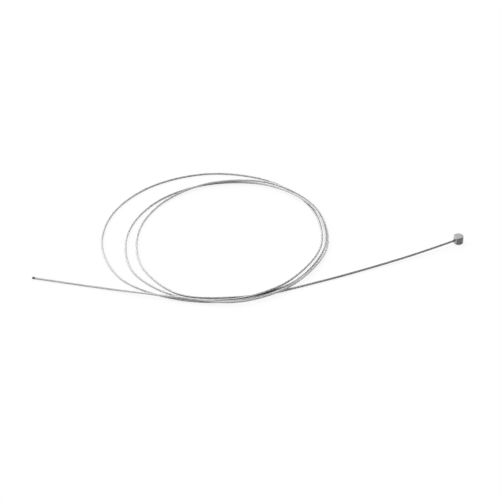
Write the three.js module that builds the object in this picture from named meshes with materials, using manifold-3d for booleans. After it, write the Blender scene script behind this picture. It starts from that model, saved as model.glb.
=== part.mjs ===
// A bicycle inner brake wire: a steel strand with a barrel nipple cast on one end and its wires
// fused together at the other. It lies loose on a flat surface in three turns.
// Millimetres, +Z up. The origin is the centre of the nipple's lower face. The nipple stands on
// that face, and the wire leaves its side towards -X and a little towards -Y.
import * as THREE from "three";
import { mergeVertices } from "three/addons/utils/BufferGeometryUtils.js";
import Module from "manifold-3d";

// Strand
const WIRE_DIAMETER = 1.5;
const WIRE_SIDES = 8;
const STEPS_PER_POINT = 2;
const LIE_GAP = 0.1; // between the surface and a stretch that lies on it

// Barrel nipple
const NIPPLE_DIAMETER = 7;
const NIPPLE_HEIGHT = 5.5;
const NIPPLE_CHAMFER = 0.45;
const NIPPLE_SEGMENTS = 64;
const WIRE_START = 1; // from the nipple's axis to the end of the wire inside it
const EXIT_ANGLE = 31; // degrees from -X towards -Y
const EXIT_STRAIGHT = 12; // from the nipple's axis to where the wire starts to sink

// Fused tip
const TIP_DIAMETER = 1.7;
const TIP_LENGTH = 1.8;
const TIP_ROUNDING = 0.55;
const TIP_SEGMENTS = 24;
const ARC_STEPS = 5;

const CLEARANCE = 0.3; // between two pieces that touch

// Route of the wire. Each turn is given by its distance from the coil's centre at these angles,
// and by how far it is raised there, in wire diameters: 1 where it crosses one wire.
const COIL_X = -171.5;
const COIL_Y = 6;
const TURN_ANGLES = [-40, -60, -80, -108, -140, -172, 156, 124, 92, 60, 28, -8];
const TURNS = [
  {
    radii: [87.8, 78.4, 77.6, 78, 81, 79.4, 79, 80.2, 82.2, 82, 78.4, 75.6],
    raised: [0, 0, 0, 0, 0, 0, 0, 0, 0, 0, 0, 0],
  },
  {
    radii: [74.1, 76.6, 75.8, 75.1, 70.3, 62.8, 60.2, 62.4, 68.5, 75.7, 78.7, 78.5],
    raised: [0.25, 1.15, 0.1, 0.05, 0, 0, 0, 0, 0, 0.5, 1.15, 0.8],
  },
  {
    radii: [77.3, 76.3, 73.3, 72.5, 62.4, 55.1, 54.3, 58.9, 67.4, 77.3, 80.4, 80.1],
    raised: [0.05, 0.05, 0, 0, 0, 0, 0, 0.25, 1.15, 1.3, 0.85, 0.45],
  },
  { radii: [80, 80.9, 80.6, 78], raised: [1, 0.95, 0.9, 1.1] },
];
// Points before and after the turns, as X, Y and how far the wire is raised
const LEAD_IN = [
  [-39, -20.9, 0.6],
  [-80, -39.9, 0.05],
];
const LEAD_OUT = [
  [-211.5, -64.9, 1],
  [-242, -56.6, 0.07],
  [-294.5, -43.9, 0],
];

const wireRadius = WIRE_DIAMETER / 2;
const exitDirection = new THREE.Vector3(-1, 0, 0).applyAxisAngle(
  new THREE.Vector3(0, 0, 1),
  THREE.MathUtils.degToRad(EXIT_ANGLE),
);

function heightOf(raised) {
  return wireRadius + LIE_GAP + raised * WIRE_DIAMETER;
}

function routePoints() {
  const wireHeight = NIPPLE_HEIGHT / 2;
  const onTable = ([x, y, raised]) => new THREE.Vector3(x, y, heightOf(raised));
  const points = [WIRE_START, EXIT_STRAIGHT].map((distance) =>
    exitDirection.clone().multiplyScalar(distance).setZ(wireHeight),
  );
  points.push(...LEAD_IN.map(onTable));
  for (const { radii, raised } of TURNS) {
    radii.forEach((radius, i) => {
      const angle = THREE.MathUtils.degToRad(TURN_ANGLES[i]);
      const x = COIL_X + radius * Math.cos(angle);
      const y = COIL_Y + radius * Math.sin(angle);
      points.push(onTable([x, y, raised[i]]));
    });
  }
  points.push(...LEAD_OUT.map(onTable));
  return points;
}

// A smooth curve that is stepped from point to point, so that turns which lie side by side bend
// at the same places and keep their distance
class RouteCurve extends THREE.CatmullRomCurve3 {
  getPointAt(u, target) {
    return this.getPoint(u, target);
  }

  getTangentAt(u, target) {
    return this.getTangent(u, target);
  }
}

// Solids of a closed geometry for cutting
const wasm = await Module();
wasm.setup();

function solidOf(geometry) {
  const bare = geometry.clone();
  bare.deleteAttribute("normal");
  bare.deleteAttribute("uv");
  const merged = mergeVertices(bare, 1e-4);
  return new wasm.Manifold(
    new wasm.Mesh({
      numProp: 3,
      vertProperties: merged.attributes.position.array,
      triVerts: new Uint32Array(merged.index.array),
    }),
  );
}

function geometryOf(solid) {
  const mesh = solid.getMesh();
  const geometry = new THREE.BufferGeometry();
  geometry.setAttribute("position", new THREE.BufferAttribute(mesh.vertProperties, 3));
  geometry.setIndex(new THREE.BufferAttribute(mesh.triVerts, 1));
  geometry.computeVertexNormals();
  return geometry;
}

// A solid of revolution about Z from its outline
function turned(outline, segments) {
  const geometry = new THREE.LatheGeometry(outline, segments);
  return geometry.rotateX(Math.PI / 2);
}

function barrelNipple() {
  const radius = NIPPLE_DIAMETER / 2;
  const outline = [
    new THREE.Vector2(0, 0),
    new THREE.Vector2(radius - NIPPLE_CHAMFER, 0),
    new THREE.Vector2(radius, NIPPLE_CHAMFER),
    new THREE.Vector2(radius, NIPPLE_HEIGHT - NIPPLE_CHAMFER),
    new THREE.Vector2(radius - NIPPLE_CHAMFER, NIPPLE_HEIGHT),
    new THREE.Vector2(0, NIPPLE_HEIGHT),
  ];
  // The hole that holds the wire, from just behind the wire's end to outside the nipple
  const holeStart = WIRE_START - CLEARANCE;
  const holeLength = NIPPLE_DIAMETER;
  const holeRadius = wireRadius + CLEARANCE;
  const hole = new THREE.CylinderGeometry(holeRadius, holeRadius, holeLength, TIP_SEGMENTS);
  hole.rotateZ(Math.PI / 2);
  hole.translate(-holeStart - holeLength / 2, 0, NIPPLE_HEIGHT / 2);
  hole.rotateZ(THREE.MathUtils.degToRad(EXIT_ANGLE));
  const body = solidOf(turned(outline, NIPPLE_SEGMENTS)).subtract(solidOf(hole));
  const material = new THREE.MeshStandardMaterial({
    color: 0x9a9b9d,
    metalness: 1,
    roughness: 0.45,
  });
  const mesh = new THREE.Mesh(geometryOf(body), material);
  mesh.name = "barrel_nipple";
  return mesh;
}

function innerWire(curve) {
  const section = new THREE.Shape();
  section.absarc(0, 0, wireRadius, 0, 2 * Math.PI);
  const geometry = new THREE.ExtrudeGeometry(section, {
    curveSegments: WIRE_SIDES / 2,
    steps: STEPS_PER_POINT * (curve.points.length - 1),
    extrudePath: curve,
  });
  const material = new THREE.MeshStandardMaterial({
    color: 0xb4b6b9,
    metalness: 1,
    roughness: 0.35,
  });
  const mesh = new THREE.Mesh(geometry, material);
  mesh.name = "inner_wire";
  return mesh;
}

// The bead of melted wire ends, which lies on the surface in line with the wire
function fusedTip(curve) {
  const radius = TIP_DIAMETER / 2;
  const outline = [new THREE.Vector2(0, 0), new THREE.Vector2(radius, 0)];
  for (let i = 0; i <= ARC_STEPS; i++) {
    const angle = (i / ARC_STEPS) * (Math.PI / 2);
    outline.push(
      new THREE.Vector2(
        radius - TIP_ROUNDING + TIP_ROUNDING * Math.cos(angle),
        TIP_LENGTH - TIP_ROUNDING + TIP_ROUNDING * Math.sin(angle),
      ),
    );
  }
  outline.push(new THREE.Vector2(0, TIP_LENGTH));
  const material = new THREE.MeshStandardMaterial({
    color: 0x4a4846,
    metalness: 1,
    roughness: 0.55,
  });
  const mesh = new THREE.Mesh(turned(outline, TIP_SEGMENTS), material);
  const wireEnd = curve.getPoint(1);
  const direction = curve.getTangent(1).setZ(0).normalize();
  mesh.quaternion.setFromUnitVectors(new THREE.Vector3(0, 0, 1), direction);
  mesh.position.copy(wireEnd).addScaledVector(direction, CLEARANCE).setZ(radius);
  mesh.name = "fused_tip";
  return mesh;
}

const group = new THREE.Group();
const route = new RouteCurve(routePoints());
group.add(barrelNipple(), innerWire(route), fusedTip(route));

export default group;
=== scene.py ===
# A bicycle inner brake wire that lies loose in three turns on a white surface: a strand of twisted
# steel wires, a cast barrel nipple on one end and a fused tip on the other.
# Metres, +Z up, in the frame of the CAD model: the origin is the centre of the nipple's lower face.
import math

import bpy
import numpy as np
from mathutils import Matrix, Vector


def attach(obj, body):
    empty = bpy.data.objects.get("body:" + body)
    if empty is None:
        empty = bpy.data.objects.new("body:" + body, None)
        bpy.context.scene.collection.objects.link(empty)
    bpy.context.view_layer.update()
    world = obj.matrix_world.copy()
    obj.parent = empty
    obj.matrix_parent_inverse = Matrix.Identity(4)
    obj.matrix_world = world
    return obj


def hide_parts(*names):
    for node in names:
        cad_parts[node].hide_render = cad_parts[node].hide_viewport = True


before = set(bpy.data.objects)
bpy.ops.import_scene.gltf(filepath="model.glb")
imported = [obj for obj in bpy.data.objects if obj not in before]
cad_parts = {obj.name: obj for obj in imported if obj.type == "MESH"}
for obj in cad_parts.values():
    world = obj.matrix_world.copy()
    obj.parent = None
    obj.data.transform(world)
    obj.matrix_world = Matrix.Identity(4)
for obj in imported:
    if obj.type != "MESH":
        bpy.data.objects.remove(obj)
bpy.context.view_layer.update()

# Strand
WIRE_DIAMETER = 0.0015
LIE_GAP = 0.0001  # between the surface and a stretch that lies on it
OUTER_WIRES = 12
SINGLE_WIRE = 0.0003  # thickness of each wire in the strand
LAY_LENGTH = 0.0157  # the outer wires go round once in this length
STATIONS_PER_LAY = 11
SINGLE_SIDES = 6
CORE_RADIUS = 0.00045
CORE_SIDES = 10
CORE_STEP = 3  # the core takes every third station
SAMPLES_PER_POINT = 60  # of the smooth route, before it is cut into even steps

# Nipple
NIPPLE_DIAMETER = 0.007
NIPPLE_HEIGHT = 0.0055
NIPPLE_ROUNDING = 0.00045
ROUNDING_STEPS = 8
NIPPLE_SEGMENTS = 96
WIRE_START = 0.001  # the wire's first point, from the nipple's axis
BORE_START = 0.0009  # and the closed end of the bore
BORE_RADIUS = 0.00079
MOUTH_RADIUS = 0.00105  # the bore flares where the wire leaves the nipple
MOUTH_DEPTH = 0.0003
MOUTH_OUTSIDE = 0.000075  # the flare goes on this far outside, so that it cuts cleanly
BORE_SEGMENTS = 32
SHARP_ANGLE = 35  # faces that meet at more than this, in degrees, keep a crisp edge
EXIT_ANGLE = 31  # degrees from -X towards -Y
EXIT_STRAIGHT = 0.012  # the wire's second point, still level, from the nipple's axis

# Fused tip
TIP_RADIUS = 0.00085
TIP_LENGTH = 0.001  # past the last station of the wire
TIP_OVERLAP = 0.001  # how far the fused metal reaches back over the strand
TIP_BLEND = 0.0009  # the lobes of the wires melt away over this length
TIP_ROUNDING = 0.0008
TIP_BLUNTNESS = 2.2  # 2 would be a round end
TIP_FIRST_ANGLE = 0.06  # the rings lie as on a half circle from this angle on, closer at both ends
LOBE_SWELL = 1.02  # how much further out the lobes stand than the wires that they cover
UNEVEN_SHARE = 0.015  # how deep the waves round the bead are
UNEVEN_WAVES = 3
UNEVEN_TWIST = 4000  # radians per metre
TIP_RINGS = 30
TIP_SEGMENTS = 72

# Route of the wire. Each turn is given by its distance from the coil's centre at these angles,
# and by how far it is raised there, in wire diameters: 1 where it crosses one wire.
COIL_X = -0.1715
COIL_Y = 0.006
TURN_ANGLES = (-40, -60, -80, -108, -140, -172, 156, 124, 92, 60, 28, -8)
TURNS = (
    (
        (0.0878, 0.0784, 0.0776, 0.078, 0.081, 0.0794, 0.079, 0.0802, 0.0822, 0.082, 0.0784, 0.0756),
        (0, 0, 0, 0, 0, 0, 0, 0, 0, 0, 0, 0),
    ),
    (
        (0.0741, 0.0766, 0.0758, 0.0751, 0.0703, 0.0628, 0.0602, 0.0624, 0.0685, 0.0757, 0.0787, 0.0785),
        (0.25, 1.15, 0.1, 0.05, 0, 0, 0, 0, 0, 0.5, 1.15, 0.8),
    ),
    (
        (0.0773, 0.0763, 0.0733, 0.0725, 0.0624, 0.0551, 0.0543, 0.0589, 0.0674, 0.0773, 0.0804, 0.0801),
        (0.05, 0.05, 0, 0, 0, 0, 0, 0.25, 1.15, 1.3, 0.85, 0.45),
    ),
    ((0.08, 0.0809, 0.0806, 0.078), (1, 0.95, 0.9, 1.1)),
)
# Points before and after the turns, as X, Y and how far the wire is raised
LEAD_IN = ((-0.039, -0.0209, 0.6), (-0.08, -0.0399, 0.05))
LEAD_OUT = ((-0.2115, -0.0649, 1), (-0.242, -0.0566, 0.07), (-0.2945, -0.0439, 0))

# Maps for the baked pictures: each wire is cut into rows, so that it isn't squeezed into one
WIRE_ROWS = 12
CORE_ROWS = 2
CAP_ROWS = 1
ROW_FILL = 0.9
CAP_FILL = 0.4

# Steel of the strand. Its streaks and patches have one noise scale along the wire, per metre, one
# from wire to wire, and none across. The noise scales of the other metals are per metre.
STEEL_DARK = (0.64, 0.64, 0.635)
STEEL_LIGHT = (0.86, 0.86, 0.85)
STEEL_DULL = (0.7, 0.7, 0.69)
STEEL_STREAKS = (40, 3.7, 0)
STEEL_PATCHES = (18, 0, 0)
STEEL_ROUGHNESS = (0.4, 0.5)
# Painted shade: the stretch next to the nipple is darker than the rest of the strand
NIPPLE_STRETCH_SHADE_DARK = (0.22, 0.22, 0.218)
NIPPLE_STRETCH_SHADE_LIGHT = (0.62, 0.62, 0.615)
NIPPLE_STRETCH_SHADE_ENDS = (0.09, 0.16)  # the painted shade next to the nipple fades out between these distances along the wire
HEAT_TINT = (0.22, 0.19, 0.155)
HEAT_LENGTH = 0.002
# Painted shade: the strand's colour goes towards this tone where it is hidden, in its recesses, on its
# undersides and where its turns lie together
PAINTED_SHADE_TONE = (0.09, 0.09, 0.088)
PAINTED_SHADE_REACH = 0.0018
PAINTED_SHADE_RANGE = (0.25, 0.95)  # how open a place is, from full painted shade to none
PAINTED_SHADE_SAMPLES = 8

# Zinc of the nipple. Its edges say how far a face points that way where a tone starts, and where
# it is full. Its speck range is a range of the noise.
ZINC_DARK = (0.46, 0.46, 0.446)
ZINC_LIGHT = (0.74, 0.74, 0.722)
ZINC_PATCHES = 700
ZINC_ROUGHNESS = (0.34, 0.52)
# Painted shade on the front of the nipple's flank, where its faces point towards the side given below
FRONT_SHADE_DARK = (0.125, 0.125, 0.119)
FRONT_SHADE_LIGHT = (0.225, 0.225, 0.215)
FRONT_SHADE_SIDE = (0.3, -0.95, 0)
FRONT_SHADE_EDGE = (0.45, 0.85)
END_DARK = (0.2, 0.2, 0.194)
END_LIGHT = (0.38, 0.38, 0.368)
END_EDGE = (0.6, 0.95)
SPECK_TONE = (0.1, 0.1, 0.096)
SPECK_SHARE = 0.4
SPECK_RANGE = (0.5, 0.65)
ZINC_SPECKS = 2400
ZINC_GRAIN = 5000
GRAIN_DEPTH = 0.00004

# Melted steel of the tip
FUSED_BLUE = (0.083, 0.087, 0.094)
FUSED_BROWN = (0.144, 0.128, 0.111)
FUSED_PALE = (0.266, 0.255, 0.244)
FUSED_PALE_SHARE = 0.6
FUSED_PALE_RANGE = (0.5, 0.75)
FUSED_TINTS = 1100
FUSED_CRUST = 2600
FUSED_ROUGHNESS = (0.42, 0.62)
CRUST_DEPTH = 0.00003

# Camera
VIEW_ELEVATION = 35
VIEW_DISTANCE = 1.3
VIEW_AIM = (-0.1464, -0.0094, 0)
LENS = 133.85
SENSOR = 36
NEAREST = 0.01
FARTHEST = 20

# Light: a white tent, brighter low down, on the left and behind, with a dark opening in front on
# the right and a soft key light behind the object. An azimuth is 0 on the camera's side and 90
# towards +X. The two edges and KEY_FULL are cosines of the angle from the middle of that spot.
TENT_LEVEL = 1.17
TENT_SLOPE = (-0.31, 0.14, -0.31)
OPENING_AZIMUTH = 40
OPENING_ELEVATION = 32
OPENING_EDGE = 0.68
OPENING_LEVEL = 0.1  # share of the tent's light that is left in the middle of the opening
KEY_AZIMUTH = 200
KEY_ELEVATION = 50
KEY_EDGE = 0.766
KEY_FULL = 0.985
KEY_LEVEL = 1.45

# White surface under the object
FLOOR_REACH = 3
FLOOR_WHITE = 0.92
FLOOR_ROUGHNESS = 0.9
FLOOR_SPECULAR = 0.1
FLOOR_LIFT = 0.84  # share of plain white in the floor that the camera sees, so its shadows stay faint
MIRROR_LIFT = 0.1  # the same share in the floor that the metal mirrors


def make_camera():
    data = bpy.data.cameras.new("photo_camera")
    data.lens = LENS
    data.sensor_width = SENSOR
    data.clip_start = NEAREST
    data.clip_end = FARTHEST
    camera = bpy.data.objects.new("photo_camera", data)
    tilt = math.radians(VIEW_ELEVATION)
    back = Vector((0, -math.cos(tilt), math.sin(tilt)))
    camera.location = Vector(VIEW_AIM) + back * VIEW_DISTANCE
    camera.rotation_euler = (math.pi / 2 - tilt, 0, 0)
    bpy.context.scene.collection.objects.link(camera)
    bpy.context.scene.camera = camera


def unit(v):
    return v / np.linalg.norm(v, axis=-1, keepdims=True)


def route_points():
    """The points that the wire's centreline goes through."""

    def on_table(x, y, raised):
        return (x, y, WIRE_DIAMETER / 2 + LIE_GAP + raised * WIRE_DIAMETER)

    exit_way = math.radians(EXIT_ANGLE)
    points = [
        (-d * math.cos(exit_way), -d * math.sin(exit_way), NIPPLE_HEIGHT / 2)
        for d in (WIRE_START, EXIT_STRAIGHT)
    ]
    points += [on_table(*p) for p in LEAD_IN]
    for radii, raised in TURNS:
        for angle, radius, lift in zip(TURN_ANGLES, radii, raised):
            turn = math.radians(angle)
            x = COIL_X + radius * math.cos(turn)
            y = COIL_Y + radius * math.sin(turn)
            points.append(on_table(x, y, lift))
    points += [on_table(*p) for p in LEAD_OUT]
    return np.array(points)


def smooth_route(points):
    """A centripetal Catmull-Rom curve through the points."""
    ring = np.vstack([2 * points[0] - points[1], points, 2 * points[-1] - points[-2]])
    s = np.arange(SAMPLES_PER_POINT)[:, None] / SAMPLES_PER_POINT
    at_start = 2 * s**3 - 3 * s**2 + 1
    leaving = s**3 - 2 * s**2 + s
    at_end = -2 * s**3 + 3 * s**2
    arriving = s**3 - s**2

    def slope(p, q, r, before, after):
        return (q - p) / before - (r - p) / (before + after) + (r - q) / after

    line = []
    for a, b, c, d in zip(ring, ring[1:], ring[2:], ring[3:]):
        ab, bc, cd = (math.sqrt(np.linalg.norm(q - p)) for p, q in ((a, b), (b, c), (c, d)))
        start = slope(a, b, c, ab, bc) * bc
        end = slope(b, c, d, bc, cd) * bc
        line.append(at_start * b + leaving * start + at_end * c + arriving * end)
    line.append(points[-1:])
    return np.vstack(line)


def stations_along(line):
    """The line cut into even steps, with the distance along it at each station."""
    steps = np.linalg.norm(np.diff(line, axis=0), axis=1)
    along = np.concatenate([[0], np.cumsum(steps)])
    count = int(round(along[-1] / LAY_LENGTH * STATIONS_PER_LAY)) + 1
    at = np.linspace(0, along[-1], count)
    return np.stack([np.interp(at, along, line[:, k]) for k in range(3)], axis=1), at


def frames_along(line):
    """Tangents and two normals at each station that do not twist along the line."""
    tangents = unit(np.gradient(line, axis=0))
    normals = np.empty_like(line)
    normal = np.array([0.0, 0.0, 1.0])
    for i, tangent in enumerate(tangents):
        normal = unit(normal - tangent * (normal @ tangent))
        normals[i] = normal
    return tangents, normals, np.cross(tangents, normals)


def circle(sides):
    return 2 * math.pi * np.arange(sides) / sides


def rings_round(centres, first, second, radius, sides):
    """A ring of points round each centre, in the plane of its two unit vectors."""
    around = circle(sides)[None, :, None]
    spread = radius * (np.cos(around) * first[:, None] + np.sin(around) * second[:, None])
    return centres[:, None] + spread


class TubeMesh:
    """Tubes in one mesh, each with its place on the wire and a map cut into rows."""

    def __init__(self, rows):
        self.rows = rows
        self.next_row = 0
        self.count = 0
        self.vertices = []
        self.places = []
        self.faces = []
        self.corners = []

    def corner(self, row, across, up):
        """A corner of the map: across the row, and up in it."""
        return across, (row + (1 - ROW_FILL) / 2 + ROW_FILL * up) / self.rows

    def add(self, rings, along, index, row_count):
        stations, sides = rings.shape[:2]
        first = self.count
        self.count += stations * sides
        self.vertices += rings.reshape(-1, 3).tolist()
        self.places += [(s, index, 0) for s in np.repeat(along, sides)]
        per_row = math.ceil((stations - 1) / row_count)
        for i in range(stations - 1):
            row = self.next_row + i // per_row
            left, right = (i % per_row) / per_row, (i % per_row + 1) / per_row
            here = first + i * sides
            for j in range(sides):
                k = (j + 1) % sides
                self.faces.append((here + j, here + k, here + sides + k, here + sides + j))
                self.corners += [
                    self.corner(row, left, j / sides),
                    self.corner(row, left, (j + 1) / sides),
                    self.corner(row, right, (j + 1) / sides),
                    self.corner(row, right, j / sides),
                ]
        self.next_row += row_count
        last = first + (stations - 1) * sides
        self.add_cap(range(first + sides - 1, first - 1, -1), 2 * index)
        self.add_cap(range(last, last + sides), 2 * index + 1)

    def add_cap(self, ring, place):
        """The flat end of a tube, which gets a small round cell in the last row of the map."""
        cell = 1 / (2 * (OUTER_WIRES + 1))
        self.faces.append(tuple(ring))
        for turn in circle(len(ring)):
            across = (place + 0.5 + CAP_FILL * math.cos(turn)) * cell
            up = 0.5 + CAP_FILL * math.sin(turn)
            self.corners.append(self.corner(self.rows - 1, across, up))


def mesh_object(name, vertices, faces, material, smooth=True):
    mesh = bpy.data.meshes.new(name)
    mesh.from_pydata(vertices, [], faces)
    mesh.polygons.foreach_set("use_smooth", [smooth] * len(mesh.polygons))
    mesh.materials.append(material)
    made = bpy.data.objects.new(name, mesh)
    bpy.context.scene.collection.objects.link(made)
    return made


def dress(piece, node):
    """Ties a piece of the scene to the CAD node that it stands for."""
    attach(piece, "root")
    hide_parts(node)


def make_strand(material, centre, along, tangents, normals, sides):
    """Twelve outer wires laid round a plain core, all in one mesh."""
    tubes = TubeMesh(OUTER_WIRES * WIRE_ROWS + CORE_ROWS + CAP_ROWS)
    ring_radius = (WIRE_DIAMETER - SINGLE_WIRE) / 2
    slope = 2 * math.pi * ring_radius / LAY_LENGTH
    for k in range(OUTER_WIRES):
        turn = (2 * math.pi * (along / LAY_LENGTH + k / OUTER_WIRES))[:, None]
        out = np.cos(turn) * normals + np.sin(turn) * sides
        round_way = np.cos(turn) * sides - np.sin(turn) * normals
        across = np.cross(unit(tangents + slope * round_way), out)
        middle = centre + ring_radius * out
        rings = rings_round(middle, out, across, SINGLE_WIRE / 2, SINGLE_SIDES)
        tubes.add(rings, along, k, WIRE_ROWS)
    middle, first, second = (a[::CORE_STEP] for a in (centre, normals, sides))
    core = rings_round(middle, first, second, CORE_RADIUS, CORE_SIDES)
    tubes.add(core, along[::CORE_STEP], OUTER_WIRES, CORE_ROWS)
    strand = mesh_object("wire_strand", tubes.vertices, tubes.faces, material)
    bake_map = strand.data.uv_layers.new(name="OFBake")
    bake_map.uv.foreach_set("vector", np.array(tubes.corners, dtype=np.float32).ravel())
    place = strand.data.attributes.new("wire_place", "FLOAT_VECTOR", "POINT")
    place.data.foreach_set("vector", np.array(tubes.places, dtype=np.float32).ravel())
    dress(strand, "inner_wire")
    return strand


def lathe(name, profile, segments, material):
    """A closed body turned round +Z. The profile's first and last points lie on the axis."""
    inner = profile[1:-1]
    vertices = [
        (r * math.cos(t), r * math.sin(t), z) for r, z in inner for t in circle(segments)
    ]
    vertices += [(0, 0, profile[0][1]), (0, 0, profile[-1][1])]
    bottom, top = len(vertices) - 2, len(vertices) - 1
    last = (len(inner) - 1) * segments
    faces = []
    for j in range(segments):
        k = (j + 1) % segments
        faces.append((bottom, k, j))
        faces.append((top, last + j, last + k))
        for i in range(len(inner) - 1):
            here = i * segments
            faces.append((here + j, here + k, here + segments + k, here + segments + j))
    return mesh_object(name, vertices, faces, material)


def make_nipple(material):
    """The cast barrel with rounded edges, and a bore with a flared mouth that the wire leaves by."""
    radius = NIPPLE_DIAMETER / 2
    turns = [math.pi / 2 * k / ROUNDING_STEPS for k in range(ROUNDING_STEPS + 1)]
    flat = radius - NIPPLE_ROUNDING
    lower = [(0, 0), (flat / 2, 0)]
    lower += [
        (flat + NIPPLE_ROUNDING * math.sin(t), NIPPLE_ROUNDING * (1 - math.cos(t))) for t in turns
    ]
    upper = [(r, NIPPLE_HEIGHT - z) for r, z in reversed(lower)]
    nipple = lathe("nipple_body", lower + upper, NIPPLE_SEGMENTS, material)
    bore_profile = [
        (0, BORE_START),
        (BORE_RADIUS, BORE_START),
        (BORE_RADIUS, radius - MOUTH_DEPTH),
        (MOUTH_RADIUS, radius + MOUTH_OUTSIDE),
        (MOUTH_RADIUS, NIPPLE_DIAMETER),
        (0, NIPPLE_DIAMETER),
    ]
    bore = lathe("bore_cutter", bore_profile, BORE_SEGMENTS, material)
    exit_way = math.radians(EXIT_ANGLE)
    axis = Vector((-math.cos(exit_way), -math.sin(exit_way), 0))
    bore.rotation_euler = axis.to_track_quat("Z", "Y").to_euler()
    bore.location = (0, 0, NIPPLE_HEIGHT / 2)
    cut = nipple.modifiers.new("bore", "BOOLEAN")
    cut.object = bore
    cut.operation = "DIFFERENCE"
    cut.solver = "EXACT"
    bpy.context.view_layer.update()
    graph = bpy.context.evaluated_depsgraph_get()
    shaped = bpy.data.meshes.new_from_object(nipple.evaluated_get(graph))
    nipple.modifiers.clear()
    nipple.data = shaped
    bpy.data.objects.remove(bore)
    shaped.set_sharp_from_angle(angle=math.radians(SHARP_ANGLE))
    dress(nipple, "barrel_nipple")


def tip_outline(distance, along, turns):
    """The tip's radius in each direction: lobed like the strand at first, then an uneven bead."""
    ring_radius = (WIRE_DIAMETER - SINGLE_WIRE) / 2
    length = TIP_OVERLAP + TIP_LENGTH
    twist = 2 * math.pi * (along - TIP_OVERLAP + distance) / LAY_LENGTH
    share = 2 * math.pi / OUTER_WIRES
    off = (turns - twist + share / 2) % share - share / 2
    inside = np.maximum((SINGLE_WIRE / 2) ** 2 - (ring_radius * np.sin(off)) ** 2, 0)
    lobed = LOBE_SWELL * (ring_radius * np.cos(off) + np.sqrt(inside))
    to_end = max(0, (distance - length + TIP_ROUNDING) / TIP_ROUNDING)
    bead = TIP_RADIUS * (1 - to_end**TIP_BLUNTNESS) ** (1 / TIP_BLUNTNESS)
    wave = np.sin(UNEVEN_WAVES * turns + UNEVEN_TWIST * distance)
    uneven = 1 - UNEVEN_SHARE + UNEVEN_SHARE * wave
    melted = min(1, distance / TIP_BLEND)
    melted = melted * melted * (3 - 2 * melted)
    return (1 - melted) * lobed + melted * bead * uneven


def make_tip(material, end, along, tangent, normal, side):
    """The fused end: the wires' lobes melt into a small uneven bead."""
    turns = circle(TIP_SEGMENTS)
    steps = np.linspace(TIP_FIRST_ANGLE, math.pi, TIP_RINGS + 1)[:-1]
    distances = (TIP_OVERLAP + TIP_LENGTH) * (1 - np.cos(steps)) / 2
    vertices = []
    for distance in distances:
        for r, t in zip(tip_outline(distance, along, turns), turns):
            out = math.cos(t) * normal + math.sin(t) * side
            vertices.append(end + tangent * (distance - TIP_OVERLAP) + out * r)
    vertices.append(end + tangent * TIP_LENGTH)
    faces = [tuple(range(TIP_SEGMENTS - 1, -1, -1))]
    last = (len(distances) - 1) * TIP_SEGMENTS
    for j in range(TIP_SEGMENTS):
        k = (j + 1) % TIP_SEGMENTS
        for i in range(len(distances) - 1):
            here = i * TIP_SEGMENTS
            faces.append((here + j, here + k, here + TIP_SEGMENTS + k, here + TIP_SEGMENTS + j))
        faces.append((last + j, last + k, len(vertices) - 1))
    tip = mesh_object("tip_bead", [tuple(v) for v in vertices], faces, material)
    dress(tip, "fused_tip")


class NodeTree:
    """The nodes of a material or a world, with helpers that add and link them."""

    def __init__(self, owner):
        owner.use_nodes = True
        self.nodes = owner.node_tree.nodes
        self.links = owner.node_tree.links

    def combined(self, operation, *values):
        """The result of a calculation on numbers or outputs."""
        made = self.nodes.new("ShaderNodeMath")
        made.operation = operation
        for socket, value in zip(made.inputs, values):
            if isinstance(value, (int, float)):
                socket.default_value = value
            else:
                self.links.new(value, socket)
        return made.outputs[0]

    def towards(self, vector, direction):
        """How far a vector output points in a direction."""
        product = self.nodes.new("ShaderNodeVectorMath")
        product.operation = "DOT_PRODUCT"
        product.inputs[1].default_value = direction
        self.links.new(vector, product.inputs[0])
        return product.outputs["Value"]

    def spread(self, value, low, high, start=0.3, end=0.7, slope="LINEAR"):
        """Maps a value from start to end onto low to high."""
        across = self.nodes.new("ShaderNodeMapRange")
        across.interpolation_type = slope
        across.inputs["From Min"].default_value = start
        across.inputs["From Max"].default_value = end
        across.inputs["To Min"].default_value = low
        across.inputs["To Max"].default_value = high
        self.links.new(value, across.inputs["Value"])
        return across.outputs[0]

    def axes(self, vector):
        """The X, Y and Z of a vector output."""
        made = self.nodes.new("ShaderNodeSeparateXYZ")
        self.links.new(vector, made.inputs[0])
        return made.outputs


class Shading(NodeTree):
    """A material with helpers for its patterns and its shader."""

    def __init__(self, name):
        self.material = bpy.data.materials.new(name)
        super().__init__(self.material)
        self.shader = self.nodes["Principled BSDF"]

    def object_place(self):
        return self.nodes.new("ShaderNodeTexCoord").outputs["Object"]

    def scaled(self, vector, scale):
        stretch = self.nodes.new("ShaderNodeVectorMath")
        stretch.operation = "MULTIPLY"
        stretch.inputs[1].default_value = scale
        self.links.new(vector, stretch.inputs[0])
        return stretch.outputs[0]

    def noise(self, vector, scale, detail):
        texture = self.nodes.new("ShaderNodeTexNoise")
        texture.inputs["Scale"].default_value = scale
        texture.inputs["Detail"].default_value = detail
        self.links.new(vector, texture.inputs["Vector"])
        return texture.outputs["Fac"]

    def blend(self, share, first, second):
        """A colour between two others; either may be a value triple or an output."""
        mix = self.nodes.new("ShaderNodeMix")
        mix.data_type = "RGBA"
        self.links.new(share, mix.inputs["Factor"])
        for socket, colour in ((mix.inputs[6], first), (mix.inputs[7], second)):
            if isinstance(colour, tuple):
                socket.default_value = (*colour, 1)
            else:
                self.links.new(colour, socket)
        return mix.outputs[2]

    def bump(self, height, depth):
        bump = self.nodes.new("ShaderNodeBump")
        bump.inputs["Strength"].default_value = 1
        bump.inputs["Distance"].default_value = depth
        self.links.new(height, bump.inputs["Height"])
        self.links.new(bump.outputs[0], self.shader.inputs["Normal"])

    def finish(self, colour, roughness):
        self.shader.inputs["Metallic"].default_value = 1
        self.links.new(colour, self.shader.inputs["Base Color"])
        self.links.new(roughness, self.shader.inputs["Roughness"])
        return self.material


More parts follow.
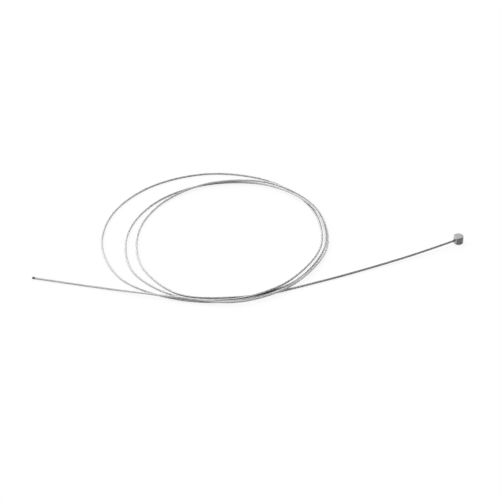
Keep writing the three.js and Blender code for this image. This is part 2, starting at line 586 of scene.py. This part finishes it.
def strand_steel(length):
    """Bright drawn steel. Every other wire is lighter, and all are streaked along their length.
    Painted shade darkens the recesses, the undersides and the turns that lie together, and the
    stretch next to the nipple; the heat that fused the tip has tinted the last millimetres."""
    look = Shading("strand_steel")
    place = look.nodes.new("ShaderNodeAttribute")
    place.attribute_name = "wire_place"
    place = place.outputs["Vector"]
    distance, wire, _ = look.axes(place)
    streaks = look.spread(look.noise(look.scaled(place, STEEL_STREAKS), 1, 3), 0, 1)
    patches = look.spread(look.noise(look.scaled(place, STEEL_PATCHES), 1, 2), 0, 1)
    every_other = look.combined("MODULO", wire, 2)
    tone = look.combined("MULTIPLY_ADD", every_other, 0.5, look.combined("MULTIPLY", streaks, 0.5))
    clean = look.blend(tone, STEEL_DARK, STEEL_LIGHT)
    dulled = look.blend(look.combined("MULTIPLY", patches, 0.5), clean, STEEL_DULL)
    # Painted shade on the stretch next to the nipple
    nipple_stretch_shade = look.blend(tone, NIPPLE_STRETCH_SHADE_DARK, NIPPLE_STRETCH_SHADE_LIGHT)
    with_stretch_shade = look.blend(look.spread(distance, 1, 0, *NIPPLE_STRETCH_SHADE_ENDS), dulled, nipple_stretch_shade)
    tinted = look.blend(look.spread(distance, 0, 1, length - HEAT_LENGTH, length), with_stretch_shade, HEAT_TINT)
    # Painted shade where the occlusion node finds the strand hidden
    painted_shade_node = look.nodes.new("ShaderNodeAmbientOcclusion")
    painted_shade_node.samples = PAINTED_SHADE_SAMPLES
    painted_shade_node.inputs["Distance"].default_value = PAINTED_SHADE_REACH
    colour = look.blend(look.spread(painted_shade_node.outputs["AO"], 0, 1, *PAINTED_SHADE_RANGE), PAINTED_SHADE_TONE, tinted)
    return look.finish(colour, look.spread(streaks, *STEEL_ROUGHNESS, 0, 1))


def nipple_zinc():
    """Zinc as it comes from the mould: fine grain, specks and patches, dull end faces, and a
    brighter flank with painted shade on its front."""
    look = Shading("nipple_zinc")
    place = look.object_place()
    grain = look.noise(place, ZINC_GRAIN, 4)
    patches = look.noise(place, ZINC_PATCHES, 3)
    patchy = look.spread(patches, 0, 1)
    specks = look.spread(look.noise(place, ZINC_SPECKS, 2), 0, SPECK_SHARE, *SPECK_RANGE)
    flank = look.blend(patchy, ZINC_DARK, ZINC_LIGHT)
    outward = look.nodes.new("ShaderNodeNewGeometry").outputs["Normal"]
    # Painted shade on the front of the flank
    front_shade = look.spread(look.towards(outward, FRONT_SHADE_SIDE), 0, 1, *FRONT_SHADE_EDGE)
    front_shaded = look.blend(front_shade, flank, look.blend(patchy, FRONT_SHADE_DARK, FRONT_SHADE_LIGHT))
    upright = look.combined("ABSOLUTE", look.axes(outward)["Z"])
    ends = look.blend(patchy, END_DARK, END_LIGHT)
    clean = look.blend(look.spread(upright, 0, 1, *END_EDGE), front_shaded, ends)
    colour = look.blend(specks, clean, SPECK_TONE)
    look.bump(grain, GRAIN_DEPTH)
    return look.finish(colour, look.spread(patches, *ZINC_ROUGHNESS))


def fused_steel():
    """Steel that was melted in air: dark scale with brown and blue tints and paler crust."""
    look = Shading("fused_steel")
    place = look.object_place()
    crust = look.noise(place, FUSED_CRUST, 4)
    dark = look.blend(look.spread(look.noise(place, FUSED_TINTS, 2), 0, 1), FUSED_BLUE, FUSED_BROWN)
    pale_share = look.spread(crust, 0, FUSED_PALE_SHARE, *FUSED_PALE_RANGE)
    look.bump(crust, CRUST_DEPTH)
    colour = look.blend(pale_share, dark, FUSED_PALE)
    return look.finish(colour, look.spread(crust, *FUSED_ROUGHNESS))


def make_floor():
    """White paper. Part of what the camera and the metal see in it is plain white."""
    look = Shading("white_surface")
    look.shader.inputs["Base Color"].default_value = (FLOOR_WHITE, FLOOR_WHITE, FLOOR_WHITE, 1)
    look.shader.inputs["Roughness"].default_value = FLOOR_ROUGHNESS
    look.shader.inputs["Specular IOR Level"].default_value = FLOOR_SPECULAR
    white = look.nodes.new("ShaderNodeEmission")
    rays = look.nodes.new("ShaderNodeLightPath").outputs
    in_mirrors = look.combined("MULTIPLY", rays["Is Glossy Ray"], MIRROR_LIFT)
    share = look.combined("MULTIPLY_ADD", rays["Is Camera Ray"], FLOOR_LIFT, in_mirrors)
    blend = look.nodes.new("ShaderNodeMixShader")
    look.links.new(share, blend.inputs[0])
    look.links.new(look.shader.outputs[0], blend.inputs[1])
    look.links.new(white.outputs[0], blend.inputs[2])
    look.links.new(blend.outputs[0], look.nodes["Material Output"].inputs[0])
    r = FLOOR_REACH
    corners = [(-r, -r, 0), (r, -r, 0), (r, r, 0), (-r, r, 0)]
    floor = mesh_object("floor", corners, [[0, 1, 2, 3]], look.material, smooth=False)


def make_light():
    """The tent's brightness in each direction, less what the opening takes away, plus the key."""
    world = bpy.data.worlds.new("studio")
    light = NodeTree(world)
    background = light.nodes["Background"]
    background.inputs["Color"].default_value = (1, 1, 1, 1)
    way = light.nodes.new("ShaderNodeTexCoord").outputs["Generated"]

    def spot(azimuth, elevation, edge, full, outside, inside):
        """A soft round spot in one direction of the world."""
        a, e = math.radians(azimuth), math.radians(elevation)
        to_spot = (math.sin(a) * math.cos(e), -math.cos(a) * math.cos(e), math.sin(e))
        near = light.towards(way, to_spot)
        return light.spread(near, outside, inside, edge, full, "SMOOTHSTEP")

    opening = spot(OPENING_AZIMUTH, OPENING_ELEVATION, OPENING_EDGE, 1, 1, OPENING_LEVEL)
    tent = light.combined("ADD", light.towards(way, TENT_SLOPE), TENT_LEVEL)
    left = light.combined("MULTIPLY", tent, opening)
    key = spot(KEY_AZIMUTH, KEY_ELEVATION, KEY_EDGE, KEY_FULL, 0, KEY_LEVEL)
    light.links.new(light.combined("ADD", left, key), background.inputs["Strength"])
    bpy.context.scene.world = world


make_camera()
bpy.context.scene.view_settings.view_transform = "Standard"

centre, along = stations_along(smooth_route(route_points()))
tangents, normals, sides = frames_along(centre)
strand = make_strand(strand_steel(along[-1]), centre, along, tangents, normals, sides)
make_nipple(nipple_zinc())
make_tip(fused_steel(), centre[-1], along[-1], tangents[-1], normals[-1], sides[-1])

make_floor()
make_light()
